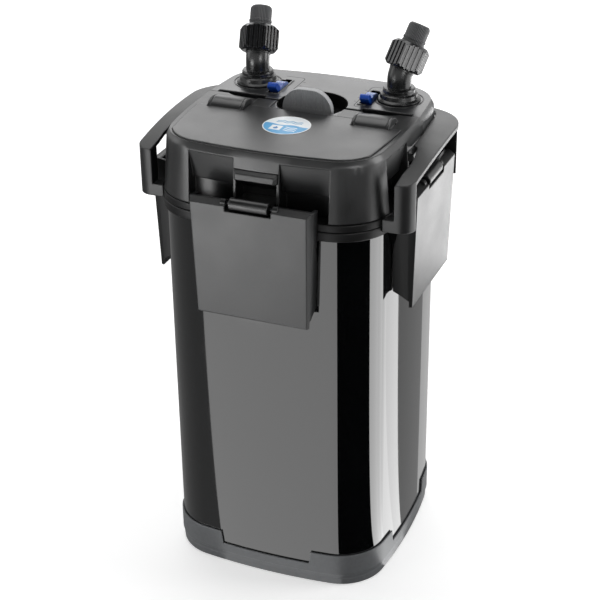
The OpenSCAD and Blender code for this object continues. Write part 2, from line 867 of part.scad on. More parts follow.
module clip_front() color("#333436") clip();
module clip_right() color("#333436") rotate(90) clip();
module clip_rear() color("#333436") rotate(180) clip();
module clip_left() color("#333436") rotate(270) clip();

module clip_pins() color("#9a9da0") four_sides()
    rod(-notch_half - ear_w + 1, notch_half + ear_w - 1, -clip_axis, clip_axis_z, clip_pin_r);

// ---- hatch ----

module hatch() color("#333436") {
    difference() {
        union() {
            difference() {
                translate([0, 0, hatch_z - hatch_t]) linear_extrude(hatch_t) hatch_plan(0);
                both_sides() block(
                    [knuckle_in - gap - cheek_t - gap, cap_front, 0],
                    [knuckle_out + cheek_t + 2 * gap, 20, 600]);
            }
            // stiffening skirt under the plate
            difference() {
                translate([0, 0, hatch_z - hatch_t - 2.4]) linear_extrude(2.5) hatch_plan(-1.2);
                translate([0, 0, hatch_z - 20]) linear_extrude(40) hatch_plan(-3.2);
                block([-150, -24, 0], [150, 50, 600]);
            }
            both_sides() across(knuckle_in, knuckle_out) {
                translate([hinge_y, hinge_z]) circle(knuckle_r);
                cap_profile(cap_front - eps, hinge_y, hatch_z - hatch_t);
                cap_profile(hinge_y - 1, cap_rear, hinge_z);
            }
        }
        both_sides() rod(knuckle_in - 1, knuckle_out + 1, hinge_y, hinge_z, hatch_pin_r + run);
    }
}

module hatch_seal() color("#1a1a1b") translate([0, 0, seat_z + gap])
    linear_extrude(hatch_z - hatch_t - seat_z - gap) difference() {
        round_rect(-well_x - 8.5, well_x + 8.5, well_front - 7, well_rear + 3.5, well_r + 14);
        round_rect(-well_x - 5, well_x + 5, well_front - 3.5, well_rear + 0.3, well_r + 10.5);
    }

module hatch_pins() color("#9a9da0") both_sides()
    rod(knuckle_in - 2.3, knuckle_out + 2.3, hinge_y, hinge_z, hatch_pin_r);

// ---- handles ----

// Plan of a handle's plate: a bar in front, a shelf behind that wraps round the corner
module handle_plan() {
    r = corner_r - 0.8 + gap;
    intersection() {
        translate([handle_out - handle_bow, 0]) circle(handle_bow, $fn = 1440);
        union() {
            translate([handle_near, wrap_y - 10 - handle_front])
                square([handle_far - handle_near, handle_front + 10]);
            translate([wrap_x, wrap_y]) circle(wrap_r);
            translate([handle_out - 1.3 - handle_corner, handle_corner - handle_front])
                circle(handle_corner);
            translate([handle_near, handle_corner - handle_front])
                square([handle_far - handle_near, 60]);
            translate([handle_near, -handle_front])
                square([handle_out - handle_near - 1.3 - handle_corner, 40]);
        }
        // the head's side and rear corner bound it inside
        polygon(concat(
            [[handle_far, -100], [handle_in, -100], [handle_in, -60], [handle_in + 1.5, -46],
             [handle_in + 1, -30], [half + 4.2, -12], [half - 0.6, -8]],
            [for (a = [1:1:6]) [side_bow_r * cos(a) - bow_c - 0.6, side_bow_r * sin(a)]],
            [for (a = [10:10:80]) [corner_c + r * cos(a), corner_c + r * sin(a)]],
            [[84, 130], [handle_far, 130]]));
    }
}

// A post from y0 to y1, from the plate down to the foot beside the flange
module handle_post(y0, y1) {
    r = corner_r + collar_out + gap;
    difference() {
        intersection() {
            translate([0, 0, handle_foot]) linear_extrude(handle_top - handle_foot) difference() {
                intersection() {
                    translate([handle_near, y0]) square([handle_far - handle_near, y1 - y0]);
                    translate([handle_out - handle_bow, 0]) circle(handle_bow, $fn = 1440);
                }
                translate([corner_c, sign(y0) * corner_c]) circle(r);
            }
            children();
            rod(handle_near, handle_far, handle_crown, handle_top - bridge_r - 1, bridge_r);
        }
        block([handle_near, y0 - 1, head_z - 0.3], [handle_in - (y0 > 0 ? 4 : 0.6), y1 + 1, 600]);
    }
}

module handle() {
    difference() {
        union() {
            intersection() {
                translate([0, 0, 380]) linear_extrude(50) handle_plan();
                difference() {
                    rod(handle_near, handle_far, handle_crown, handle_top - bridge_r, bridge_r);
                    rod(handle_near - 1, handle_far + 1, handle_crown,
                        handle_top - bridge_r - handle_t, bridge_r);
                }
            }
            handle_post(-handle_front, post_len - handle_front)
                translate([0, 0, 300]) linear_extrude(200) union() {
                    translate([handle_near, handle_corner - handle_front])
                        square([handle_far - handle_near, 60]);
                    translate([handle_near, -handle_front])
                        square([handle_out - handle_near - 1.3 - handle_corner, 40]);
                    translate([handle_out - 1.3 - handle_corner, handle_corner - handle_front])
                        circle(handle_corner);
                }
            handle_post(rear_post_y - post_len, rear_post_y)
                translate([wrap_x, wrap_y, 300]) cylinder(200, wrap_r, wrap_r);
        }
        // clears the catch bar above the side clip
        block(
            [half - 5, 0.3 - band_w / 2, 390],
            [half + lintel_out + gap, band_w / 2 - 0.3, lintel_z + lintel_h + gap]);
    }
}

module handle_right() color("#2b2c2e") handle();
module handle_left() color("#2b2c2e") mirror([1, 0, 0]) handle();

// ---- prefilter ----

module prefilter_plan(inset) {
    round_rect(-well_x + inset, well_x - inset, well_front + inset, well_rear - inset, well_r - inset);
}

module prefilter_basket() color("#2c3a4a") difference() {
    union() {
        translate([0, 0, well_z + 0.3]) linear_extrude(seat_z - 2 - well_z) prefilter_plan(0.6);
        translate([0, 0, seat_z - 1.8]) linear_extrude(1.6)
            round_rect(-well_x - 2.4, well_x + 2.4, well_front - 2.4, well_rear + 2.4, well_r + 2.4);
    }
    translate([0, 0, well_z + 2.3]) linear_extrude(60) prefilter_plan(2.6);
    for (x = [-60:15:60]) translate([x - 4, well_front + 10, 0])
        cube([8, well_rear - well_front - 16, 600]);
}

module prefilter_sponge() color("#1d1f21")
    translate([0, 0, well_z + 2.6]) linear_extrude(seat_z - well_z - 12) prefilter_plan(3);

// ---- pump ----

module motor() color("#17181a") difference() {
    union() {
        translate([0, pump_y, motor_z]) cylinder(motor_top - motor_z - 2, motor_r, motor_r);
        translate([0, pump_y, motor_top - 2 - eps]) cylinder(2, motor_r, motor_r - 2);
    }
    translate([0, pump_y, motor_z - 1]) cylinder(shaft_z1 - 2 - motor_z, rotor_r + 0.5, rotor_r + 0.5);
    translate([0, pump_y, motor_z - 1]) cylinder(shaft_z1 + 1 - motor_z, bush_r + snug, bush_r + snug);
}

module blade() {
    intersection() {
        translate([0, 11]) difference() {
            circle(11);
            circle(9.6);
        }
        square([impeller_r, 11]);
        difference() {
            circle(impeller_r);
            circle(4);
        }
    }
}

module impeller() color("#e4e4e2") translate([0, pump_y, 0]) difference() {
    union() {
        translate([0, 0, rotor_z]) cylinder(rotor_top - rotor_z, rotor_r, rotor_r);
        translate([0, 0, canister_top - 4]) cylinder(rotor_z - canister_top + 4 + eps, 6, 6);
        translate([0, 0, canister_top - 4]) cylinder(1.6, impeller_r, impeller_r);
        translate([0, 0, canister_top - 11]) linear_extrude(7.5)
            for (i = [0:blades - 1]) rotate(i * 360 / blades) blade();
        translate([0, 0, canister_top - 11]) cylinder(8, 4.5, 4.5);
    }
    cylinder(600, shaft_r + run, shaft_r + run);
}

module impeller_shaft() color("#f0efe9")
    translate([0, pump_y, shaft_z0]) cylinder(shaft_z1 - shaft_z0, shaft_r, shaft_r);

module shaft_bushes() color("#1a1a1b") translate([0, pump_y, 0])
    for (z = [shaft_z0, shaft_z1 - 3]) translate([0, 0, z]) difference() {
        cylinder(3, bush_r, bush_r);
        translate([0, 0, -1]) cylinder(5, shaft_r + snug, shaft_r + snug);
    }

module impeller_cover() color("#232426") translate([0, pump_y, skirt_z - cover_t]) difference() {
    union() {
        cylinder(cover_t - 0.1, volute_r - 0.5, volute_r - 0.5);
        translate([0, 0, -1]) cylinder(1 + eps, bush_r + 3, bush_r + 3);
    }
    difference() {
        translate([0, 0, -2]) cylinder(cover_t + 4, 13, 13);
        for (turn = [0:120:240]) rotate(turn) translate([0, -1.5, -2]) cube([20, 3, cover_t + 4]);
        translate([0, 0, -2]) cylinder(cover_t + 4, bush_r + 3, bush_r + 3);
    }
    translate([0, 0, 0.5 - snug]) cylinder(10, bush_r + snug, bush_r + snug);
}

// ---- media ----

module down_tube() color("#3a3b3d") translate([tube_x, tube_y, can_floor + 2]) difference() {
    cylinder(canister_top - 0.2 - can_floor - 2, tube_r, tube_r);
    translate([0, 0, -1]) cylinder(500, tube_r - tube_wall, tube_r - tube_wall);
    // mouths that let the water out at the bottom
    for (turn = [0:90:270]) rotate(turn) translate([0, -4, -1]) cube([20, 8, 11]);
}

module basket(i) {
    sleeve = tube_r + gap + basket_wall;
    translate([0, 0, basket_z + i * basket_pitch]) difference() {
        union() {
            difference() {
                linear_extrude(basket_h) outline(basket_in);
                translate([0, 0, 2.5]) linear_extrude(basket_h) outline(basket_in - basket_wall);
                for (x = [-56:16:72], y = [-2, 64]) translate([x - 5, y - 50, -1]) cube([10, 58, 5]);
            }
            translate([tube_x, tube_y, 0]) cylinder(basket_h, sleeve, sleeve);
        }
        translate([tube_x, tube_y, -1]) cylinder(basket_h + 2, tube_r + gap, tube_r + gap);
    }
}

module media(i) {
    sleeve = tube_r + gap + basket_wall;
    translate([0, 0, basket_z + i * basket_pitch + 2.8]) linear_extrude(basket_h - 8) difference() {
        outline(basket_in - basket_wall - gap);
        translate([tube_x, tube_y]) circle(sleeve + gap);
    }
}

module basket_1() color("#33363a") basket(0);
module basket_2() color("#33363a") basket(1);
module basket_3() color("#33363a") basket(2);
module basket_4() color("#33363a") basket(3);
module media_1() color("#22415f") media(0);
module media_2() color("#c9a27b") media(1);
module media_3() color("#e9e6dc") media(2);
module media_4() color("#f4f4f0") media(3);

base_skirt();
rubber_feet();
canister();
main_seal();
head_base();
head_shell();
clip_lugs();
catch_bars();
connector_block();
handle_left();
handle_right();
clip_front();
clip_rear();
clip_left();
clip_right();
clip_pins();
hatch();
hatch_seal();
hatch_pins();
lock_lever();
lock_lever_pin();
valve_drum_left();
valve_drum_right();
valve_spindle_left();
valve_spindle_right();
flow_lever_left();
flow_lever_right();
connector_left();
connector_right();
union_nut_left();
union_nut_right();
connector_seals();
cable_gland();
prefilter_basket();
prefilter_sponge();
motor();
impeller();
impeller_shaft();
shaft_bushes();
impeller_cover();
down_tube();
basket_1();
basket_2();
basket_3();
basket_4();
media_1();
media_2();
media_3();
media_4();
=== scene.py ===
# %% [markdown]
# # Dressing a canister filter
# A canister filter stands in the cabinet under an aquarium. It is a glossy can of black plastic with a matte pump
# head clipped on top. The engineering model already gives every piece its exact place, so this lesson loads it as a
# fixed frame and then works on what the eye meets: rounded edges, moulded grain, gloss, rubber, foam and light.

# %% Load the frame and keep its box
import json
import math
import bmesh
import bpy
from mathutils import Matrix, Vector, noise


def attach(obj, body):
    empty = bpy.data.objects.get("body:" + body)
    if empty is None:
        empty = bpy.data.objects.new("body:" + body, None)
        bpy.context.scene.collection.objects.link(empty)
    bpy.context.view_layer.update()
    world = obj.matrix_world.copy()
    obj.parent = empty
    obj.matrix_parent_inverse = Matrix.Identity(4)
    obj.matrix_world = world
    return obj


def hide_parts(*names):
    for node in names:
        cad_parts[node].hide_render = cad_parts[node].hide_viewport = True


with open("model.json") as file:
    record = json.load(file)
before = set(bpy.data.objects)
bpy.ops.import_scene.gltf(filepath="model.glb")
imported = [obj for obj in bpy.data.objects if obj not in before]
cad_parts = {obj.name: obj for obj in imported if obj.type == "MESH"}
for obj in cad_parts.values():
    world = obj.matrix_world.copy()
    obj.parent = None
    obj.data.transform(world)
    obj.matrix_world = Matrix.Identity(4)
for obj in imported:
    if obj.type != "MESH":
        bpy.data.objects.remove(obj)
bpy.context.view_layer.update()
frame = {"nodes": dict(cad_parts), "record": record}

record = frame["record"]
body_of = {node: body for body, nodes in record["behaviour"]["bodies"].items() for node in nodes}
slot_of = {part["node"]: part["material_slot"] for part in record["subparts"]}

# %% [markdown]
# ## The camera
# A product shot of a tall box looks best from a little above, with a long lens that keeps the upright edges nearly
# parallel. The camera could be aimed with a constraint, but three turns give the same view and nothing can slip:
# round the object, down towards it, and a small roll.

# %% Place the camera
camera = bpy.data.objects.new("camera", bpy.data.cameras.new("camera"))
bpy.context.scene.collection.objects.link(camera)
camera.data.sensor_fit = "HORIZONTAL"
camera.data.sensor_width = 36.0
camera.data.lens = 36.0 * 1560.751 / 600
camera.data.clip_end = 50.0
turn = Matrix.Rotation(math.radians(22.436), 4, "Z") @ Matrix.Rotation(math.radians(90 - 27.631), 4, "X")
roll = Matrix.Rotation(math.radians(-0.748), 4, "Z")
camera.matrix_world = Matrix.Translation((0.490956, -1.201310, 0.919183)) @ turn @ roll
bpy.context.scene.camera = camera
print("lens", round(camera.data.lens, 1), "mm")

# %% [markdown]
# ## Colour and small helpers for materials
# A paint code such as #121314 is written for screens, while a shader works in linear light, so each code is turned
# once by one function. Nodes could be placed by hand in the editor. In a script one small function that makes a node,
# sets it and joins its inputs keeps every material short enough to read.

# %% Turn paint codes into light
def linear(code):
    parts = [int(code[i:i + 2], 16) / 255 for i in (1, 3, 5)]
    return tuple(p / 12.92 if p <= 0.04045 else ((p + 0.055) / 1.055) ** 2.4 for p in parts) + (1.0,)

print("charcoal is", [round(v, 4) for v in linear("#121314")[:3]])

# %% Add a node, set it and join it
def add(tree, kind, inputs=None, **settings):
    node = tree.nodes.new(kind)
    for name, value in settings.items():
        setattr(node, name, value)
    for name, value in (inputs or {}).items():
        if isinstance(value, bpy.types.NodeSocket):
            tree.links.new(value, node.inputs[name])
        else:
            node.inputs[name].default_value = value
    return node

# %% Start a material that reads the piece's own coordinates
def new_material(name):
    material = bpy.data.materials.new(name)
    material.use_nodes = True
    material.node_tree.nodes.clear()
    place = add(material.node_tree, "ShaderNodeTexCoord").outputs["Object"]
    return material, material.node_tree, place

# %% Patterns by their size in millimetres
def speckle(tree, place, size_mm, detail=2.0, rough=0.55):
    scale = 1000 / size_mm
    return add(tree, "ShaderNodeTexNoise",
               {"Vector": place, "Scale": scale, "Detail": detail, "Roughness": rough}).outputs["Fac"]

def spread(tree, value, low, high, start=0.3, end=0.7):
    return add(tree, "ShaderNodeMapRange",
               {"Value": value, "From Min": start, "From Max": end, "To Min": low, "To Max": high}).outputs["Result"]

def math_node(tree, operation, a, b=0.0, c=0.0):
    return add(tree, "ShaderNodeMath", {0: a, 1: b, 2: c}, operation=operation).outputs[0]

def blend_colour(tree, amount, first, second):
    return add(tree, "ShaderNodeMix", {0: amount, 6: first, 7: second}, data_type="RGBA").outputs[2]

# %% Where an edge has been rubbed, and where a painted highlight runs along it
def rubbed_and_highlit(tree, radius_mm, amount, patches):
    soft = add(tree, "ShaderNodeBevel", {"Radius": radius_mm / 1000}, samples=6).outputs["Normal"]
    hard = add(tree, "ShaderNodeNewGeometry").outputs["Normal"]
    same = add(tree, "ShaderNodeVectorMath", {0: soft, 1: hard}, operation="DOT_PRODUCT").outputs["Value"]
    bend = spread(tree, math_node(tree, "SUBTRACT", 1.0, same), 0.0, amount, 0.01, 0.16)
    return math_node(tree, "MULTIPLY", bend, patches), soft

# %% [markdown]
# ## Spark-eroded ABS
# The head, handles, clips and skirt are taken to be charcoal ABS from a mould whose walls were spark eroded. That
# leaves a fine pebble, drawn here three quarters of a millimetre across, which scatters light and hides flow marks.
# One noise at that size drives the bump, a slower one drifts the tone and the roughness, and edges that hands rub are
# a touch smoother and paler; the paler edge is also a painted highlight along every rounded edge. A photographed
# texture would need UV maps. Noise on object coordinates needs none.
#
# The base colours are darker than the plastic looks, since its gloss adds the light. The shades of black differ from
# piece to piece: each is set to how light or dark that piece looks under the lamps, so part of its light and shade is
# painted into the colour. They don't stand for different plastics.

# %% A moulded plastic, grained or smooth
def moulded(name, code, roughness, grain_mm=0.75, depth_mm=0.05, drift=0.10, wear_and_highlight=0.35, round_mm=1.8, crevice_shade_mm=0.0,
            marks=None, ribs=None, **shader):
    material, tree, place = new_material(name)
    grain = speckle(tree, place, grain_mm, 3.0, 0.6)
    patches = speckle(tree, place, 38.0, 4.0)
    fine = speckle(tree, place, 3.2, 2.0)
    edge, soft = rubbed_and_highlit(tree, round_mm, wear_and_highlight, spread(tree, speckle(tree, place, 9.0), 0.35, 1.0))
    tone = math_node(tree, "MULTIPLY", spread(tree, patches, 1 - drift, 1 + drift),
                     spread(tree, fine, 1 - drift / 2, 1 + drift / 2))
    flat = add(tree, "ShaderNodeHueSaturation", {"Value": tone, "Color": linear(code)}).outputs["Color"]
    pale = tuple(min(1.0, 0.05 + 1.9 * v) for v in linear(code)[:3]) + (1.0,)
    # the paler edge stands for wear and also for a painted highlight on the rounded edge
    colour = blend_colour(tree, edge, flat, pale)
    shine = 0.5
    # painted shade: where the ambient occlusion finds a crevice, the colour goes near black and the gloss drops
    if crevice_shade_mm:
        open_sky = add(tree, "ShaderNodeAmbientOcclusion", {"Distance": crevice_shade_mm / 1000}, samples=8).outputs["AO"]
        shine = spread(tree, open_sky, 0.0, 0.5, 0.45, 0.8)
        colour = blend_colour(tree, spread(tree, open_sky, 0.0, 1.0, 0.45, 0.8), linear("#020202"), colour)
    if marks:
        cut = marks(tree, place)
        shine = math_node(tree, "MULTIPLY", shine, math_node(tree, "SUBTRACT", 1.0, cut))
        colour = blend_colour(tree, cut, colour, linear("#020202"))
    dull = spread(tree, math_node(tree, "ADD", math_node(tree, "MULTIPLY", patches, 0.6),
                                  math_node(tree, "MULTIPLY", grain, 0.4)), roughness - 0.06, roughness + 0.07)
    matte = math_node(tree, "SUBTRACT", dull, math_node(tree, "MULTIPLY", edge, 0.18))
    if ribs:
        soft = add(tree, "ShaderNodeBump", {"Height": ribs(tree, place), "Distance": 0.0004, "Strength": 1.0,
                                            "Normal": soft}).outputs["Normal"]
    bump = add(tree, "ShaderNodeBump", {"Height": grain, "Distance": depth_mm / 1000, "Strength": 0.8, "Normal": soft})
    surface = add(tree, "ShaderNodeBsdfPrincipled",
                  {"Base Color": colour, "Roughness": matte, "Normal": bump.outputs["Normal"],
                   "Specular IOR Level": shine, **shader})
    add(tree, "ShaderNodeOutputMaterial", {"Surface": surface.outputs["BSDF"]})
    return material

# %% The frame and ticks engraved beside each valve slot
def engraved(tree, place):
    axes = add(tree, "ShaderNodeSeparateXYZ", {0: place})
    x, y = axes.outputs["X"], axes.outputs["Y"]
    across = math_node(tree, "ADD", math_node(tree, "ABSOLUTE", x), spread(tree, x, 0.006, 0.0, -0.001, 0.001))
    def band(value, centre, half, blur=0.0002):
        far = math_node(tree, "ABSOLUTE", math_node(tree, "SUBTRACT", value, centre))
        return spread(tree, far, 1.0, 0.0, half - blur, half + blur)
    qx = math_node(tree, "SUBTRACT", math_node(tree, "ABSOLUTE", math_node(tree, "SUBTRACT", across, 0.050)), 0.010)
    qy = math_node(tree, "SUBTRACT", math_node(tree, "ABSOLUTE", math_node(tree, "SUBTRACT", y, 0.056)), 0.0225)
    corner = math_node(tree, "SQRT", math_node(tree, "ADD", *(math_node(tree, "POWER", math_node(
        tree, "MAXIMUM", q, 0.0), 2.0) for q in (qx, qy))))
    inner = math_node(tree, "MINIMUM", math_node(tree, "MAXIMUM", qx, qy), 0.0)
    edge = band(math_node(tree, "ADD", corner, inner), 0.004, 0.00035)
    frame_line = math_node(tree, "MULTIPLY", edge, spread(tree, across, 1.0, 0.0, 0.0555, 0.056))
    step = math_node(tree, "FRACT", math_node(tree, "DIVIDE", math_node(tree, "SUBTRACT", y, 0.037), 0.010))
    ticks = math_node(tree, "MULTIPLY", band(step, 0.5, 0.035, 0.015), band(across, 0.0335, 0.0012))
    ticks = math_node(tree, "MULTIPLY", ticks, band(y, 0.057, 0.020))
    return math_node(tree, "MAXIMUM", frame_line, ticks)

# %% Fine ribs round a hose tail
def tail_frame(side):
    x, turn = (-69.0, 12.0) if side == "left" else (69.0, -30.0)
    return (Matrix.Translation((x / 1000, 0.060, 0.427)) @ Matrix.Rotation(math.radians(turn), 4, "Z")
            @ Matrix.Translation((0, 0.018, 0.018)) @ Matrix.Rotation(math.radians(-30), 4, "X")
            @ Matrix.Translation((0, -0.018, 0)))

def ribs_of(side):
    def ribs(tree, place):
        base = tail_frame(side)
        local = add(tree, "ShaderNodeMapping", {"Vector": place, "Location": base.translation,
                                                "Rotation": base.to_euler()}, vector_type="TEXTURE").outputs["Vector"]
        axes = add(tree, "ShaderNodeSeparateXYZ", {0: local})
        angle = math_node(tree, "ARCTAN2", axes.outputs["Y"], axes.outputs["X"])
        return math_node(tree, "SINE", math_node(tree, "MULTIPLY", angle, 44.0))
    return ribs

# %% Every moulded plastic
# the charcoal pieces differ in tone as painted light and shade, each set to how bright that piece looks
finish = {
    "shell_charcoal": moulded("abs_charcoal_grained", "#121314", 0.34, IOR=1.58),
    "deck_charcoal": moulded("abs_charcoal_deck", "#222325", 0.30, marks=engraved, IOR=1.74),
    "handle_charcoal": moulded("abs_charcoal_handle", "#101112", 0.38),
    "clip_charcoal": moulded("abs_charcoal_clip", "#161718", 0.36, drift=0.2, IOR=1.6),
    "lever_charcoal": moulded("abs_charcoal_lever", "#b2b3b5", 0.50, round_mm=0.6),
    "skirt_charcoal": moulded("abs_charcoal_skirt", "#66686a", 0.42),
    "tail_left": moulded("pp_grey_tail_left", "#4c4d4f", 0.45, 1.0, 0.03, 0.06, 0.2, 0.5, ribs=ribs_of("left")),
    "tail_right": moulded("pp_grey_tail_right", "#4c4d4f", 0.45, 1.0, 0.03, 0.06, 0.2, 0.5, ribs=ribs_of("right")),
    # a dull near-black that stands for shadow: painted shadow in the deck's wells and along the hatch's shut line
    "shadow_black": moulded("abs_black_painted_shadow", "#050506", 0.75, wear_and_highlight=0.0, IOR=1.2),
    # a darker, duller black for the can's collar and the head's base: painted shade for the band between head and can
    "rim_shade_black": moulded("abs_black_rim_painted_shade", "#0c0c0d", 0.40, wear_and_highlight=0.15, IOR=1.34),
    # a duller black for the clip bevels: painted shade
    "clip_bevel_shade": moulded("abs_charcoal_clip_edge", "#0d0e0f", 0.45, wear_and_highlight=0.5, round_mm=0.8, IOR=1.36),
    "trim_charcoal": moulded("abs_charcoal_trim", "#161718", 0.33, depth_mm=0.04, IOR=1.58),
    "hose_grey": moulded("pp_grey_satin", "#141516", 0.27, 1.6, 0.006, 0.06, 0.25, 0.5),
    # the nut's grooves are darkened as painted shade
    "nut_grey": moulded("pp_dark_satin", "#1c1d1f", 0.22, 1.6, 0.006, 0.06, 0.45, 0.4, crevice_shade_mm=1.4),
    "inner_black": moulded("pp_black_inner", "#232426", 0.42, 1.2, 0.02),
    "basket_blue_grey": moulded("pp_basket", "#2c3a4a", 0.40, 1.4, 0.02, 0.08, 0.2),
    "rotor_white": moulded("pom_white", "#e4e4e2", 0.32, 1.4, 0.01, 0.03, 0.1),
}
print("moulded plastics:", ", ".join(finish))

# %% [markdown]
# ## High-gloss black
# The can is blown or moulded against a polished wall, so it mirrors the room like a piano lid. Under the gloss it is
# nearly black. What keeps it from looking like glass is orange peel: the surface waves by a few hundredths of a
# millimetre over a few centimetres. Fine dust dulls it here and there.

# %% The can's polished plastic
def polished(name, code, roughness, peel_mm, peel_depth_mm, dust, **shader):
    material, tree, place = new_material(name)
    peel = speckle(tree, place, peel_mm, 1.0, 0.4)
    smear = speckle(tree, place, 60.0, 5.0, 0.6)
    grit = speckle(tree, place, 0.9, 1.0, 0.5)
    specks = math_node(tree, "MULTIPLY", spread(tree, grit, 0.0, 1.0, 0.66, 0.74),
                       spread(tree, smear, 0.0, dust, 0.45, 0.7))
    colour = blend_colour(tree, specks, linear(code), linear("#6d6f72"))
    dull = math_node(tree, "ADD", spread(tree, smear, roughness * 0.6, roughness * 1.6),
                     math_node(tree, "MULTIPLY", specks, 0.3))
    bump = add(tree, "ShaderNodeBump", {"Height": peel, "Distance": peel_depth_mm / 1000, "Strength": 1.0})
    surface = add(tree, "ShaderNodeBsdfPrincipled",
                  {"Base Color": colour, "Roughness": dull, "Normal": bump.outputs["Normal"], **shader})
    add(tree, "ShaderNodeOutputMaterial", {"Surface": surface.outputs["BSDF"]})
    return material

finish["canister_black"] = polished("abs_piano_black", "#08090a", 0.045, 26.0, 0.012, 0.25,
                                    **{"IOR": 1.6, "Coat Weight": 1.0, "Coat Roughness": 0.02, "Coat IOR": 1.6})
finish["motor_resin"] = polished("epoxy_potting", "#17181a", 0.14, 14.0, 0.12, 0.1, **{"IOR": 1.55})
finish["ceramic"] = polished("alumina_shaft", "#f0efe9", 0.10, 6.0, 0.004, 0.05, **{"IOR": 1.76})
finish["lever_blue"] = polished("abs_blue_lever", "#0052c8", 0.30, 5.0, 0.02, 0.08, **{"IOR": 1.53})
finish["valve_lavender"] = polished("pom_lavender", "#7f95d2", 0.28, 5.0, 0.02, 0.06,
                                    **{"IOR": 1.48, "Subsurface Weight": 0.25, "Subsurface Scale": 0.002})
print("polished plastics added:", len(finish), "finishes")

# %% [markdown]
# ## Rubber, steel and foam
# Rubber is dull, nearly black and picks up a grey bloom. The hinge pins are drawn steel wire, so their scratches run
# along the pin. Foam is a web of cells between one and two millimetres wide, which a cell pattern gives directly: its
# distance to the nearest centre is the height of the web.

# %% Rubber
def rubber(name, code):
    material, tree, place = new_material(name)
    bloom = speckle(tree, place, 14.0, 4.0)
    pores = speckle(tree, place, 0.5, 2.0)
    colour = blend_colour(tree, spread(tree, bloom, 0.0, 0.35), linear(code), linear("#3b3b3a"))
    bump = add(tree, "ShaderNodeBump", {"Height": pores, "Distance": 0.00003, "Strength": 0.7})
    surface = add(tree, "ShaderNodeBsdfPrincipled",
                  {"Base Color": colour, "Roughness": spread(tree, bloom, 0.72, 0.9), "IOR": 1.52,
                   "Normal": bump.outputs["Normal"]})
    add(tree, "ShaderNodeOutputMaterial", {"Surface": surface.outputs["BSDF"]})
    return material

finish["black_rubber"] = rubber("epdm_black", "#1a1a1b")

# %% Drawn steel
def drawn_steel(name, stretch, bright, stained):
    material, tree, place = new_material(name)
    along = add(tree, "ShaderNodeMapping", {"Vector": place, "Scale": stretch}).outputs["Vector"]
    lines = speckle(tree, along, 0.4, 3.0)
    stain = speckle(tree, place, 6.0, 3.0)
    colour = blend_colour(tree, spread(tree, stain, 0.0, 0.5), linear(bright), linear(stained))
    bump = add(tree, "ShaderNodeBump", {"Height": lines, "Distance": 0.00002, "Strength": 0.6})
    surface = add(tree, "ShaderNodeBsdfPrincipled",
                  {"Base Color": colour, "Metallic": 1.0, "Roughness": spread(tree, lines, 0.2, 0.38),
                   "Normal": bump.outputs["Normal"]})
    add(tree, "ShaderNodeOutputMaterial", {"Surface": surface.outputs["BSDF"]})
    return material

finish["steel"] = drawn_steel("stainless_wire", (0.08, 1.0, 1.0), "#b4b6b8", "#86888b")
finish["blued_steel"] = drawn_steel("blued_wire", (0.08, 1.0, 1.0), "#2c2d2f", "#1a1b1c")

# %% Open-cell foam
def foam(name, code, deep, cell_mm):
    material, tree, place = new_material(name)
    web = add(tree, "ShaderNodeTexVoronoi", {"Vector": place, "Scale": 1000 / cell_mm},
              feature="DISTANCE_TO_EDGE").outputs["Distance"]
    cells = spread(tree, web, 0.0, 1.0, 0.02, 0.22)
    patches = speckle(tree, place, 25.0, 4.0)
    lit = add(tree, "ShaderNodeHueSaturation",
              {"Value": spread(tree, patches, 0.85, 1.15), "Color": linear(code)}).outputs["Color"]
    # the hollows of the cells take the darker colour, painted shade inside the foam's pores
    colour = blend_colour(tree, cells, lit, linear(deep))
    bump = add(tree, "ShaderNodeBump", {"Height": cells, "Distance": 0.0006, "Strength": 0.9}, invert=True)
    surface = add(tree, "ShaderNodeBsdfPrincipled",
                  {"Base Color": colour, "Roughness": spread(tree, patches, 0.82, 0.95), "Sheen Weight": 0.2,
                   "Normal": bump.outputs["Normal"]})
    add(tree, "ShaderNodeOutputMaterial", {"Surface": surface.outputs["BSDF"]})
    return material

finish["foam_black"] = foam("pu_foam_black", "#26282a", "#08090a", 1.3)
finish["media_foam"] = foam("pu_foam_blue", "#3c6494", "#101c2b", 1.8)
print(len(finish), "finishes for", len(record["materials"]), "material slots")

# %% [markdown]
# ## Pieces from the frame, with softened edges
# No moulded edge is sharp: the tool leaves a radius of half a millimetre or more, and that is what catches the light
# as a thin bright line. The engineering solids have sharp edges. The Bevel modifier could round them, but the frame's
# meshes are loose triangles, so a copy is merged, its flat faces are joined again, and then every edge that turns by
# more than 25 degrees is bevelled. The copy stands in for its node, which stays the one that collides.

# %% Finishes that one node has to itself
own_finish = {
    "handle_left": "handle_charcoal", "handle_right": "handle_charcoal", "lock_lever": "lever_charcoal",
    "clip_front": "clip_charcoal", "clip_rear": "clip_charcoal", "clip_left": "clip_charcoal",
    "clip_right": "clip_charcoal", "base_skirt": "skirt_charcoal", "clip_pins": "blued_steel",
    "connector_block": "deck_charcoal", "head_base": "rim_shade_black",
}

def finish_of(node):
    return finish[own_finish.get(node, slot_of[node])]

print(len(own_finish), "nodes have a finish of their own")

# %% Turn a shape into a finished piece
def finished(name, shape, body, slot, material=None, smooth=True):
    mesh = bpy.data.meshes.new(name)
    shape.to_mesh(mesh)
    shape.free()
    if smooth:
        mesh.shade_smooth()
    piece = bpy.data.objects.new(name, mesh)
    bpy.context.scene.collection.objects.link(piece)
    piece.data.materials.append(material or finish[slot])
    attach(piece, body)
    return piece

# %% Copy a node as one closed skin
def skin_of(node):
    shape = bmesh.new()
    shape.from_mesh(frame["nodes"][node].data)
    bmesh.ops.remove_doubles(shape, verts=shape.verts, dist=2e-6)
    bmesh.ops.dissolve_limit(shape, angle_limit=math.radians(0.4), verts=shape.verts, edges=shape.edges,
                             use_dissolve_boundaries=False)
    return shape

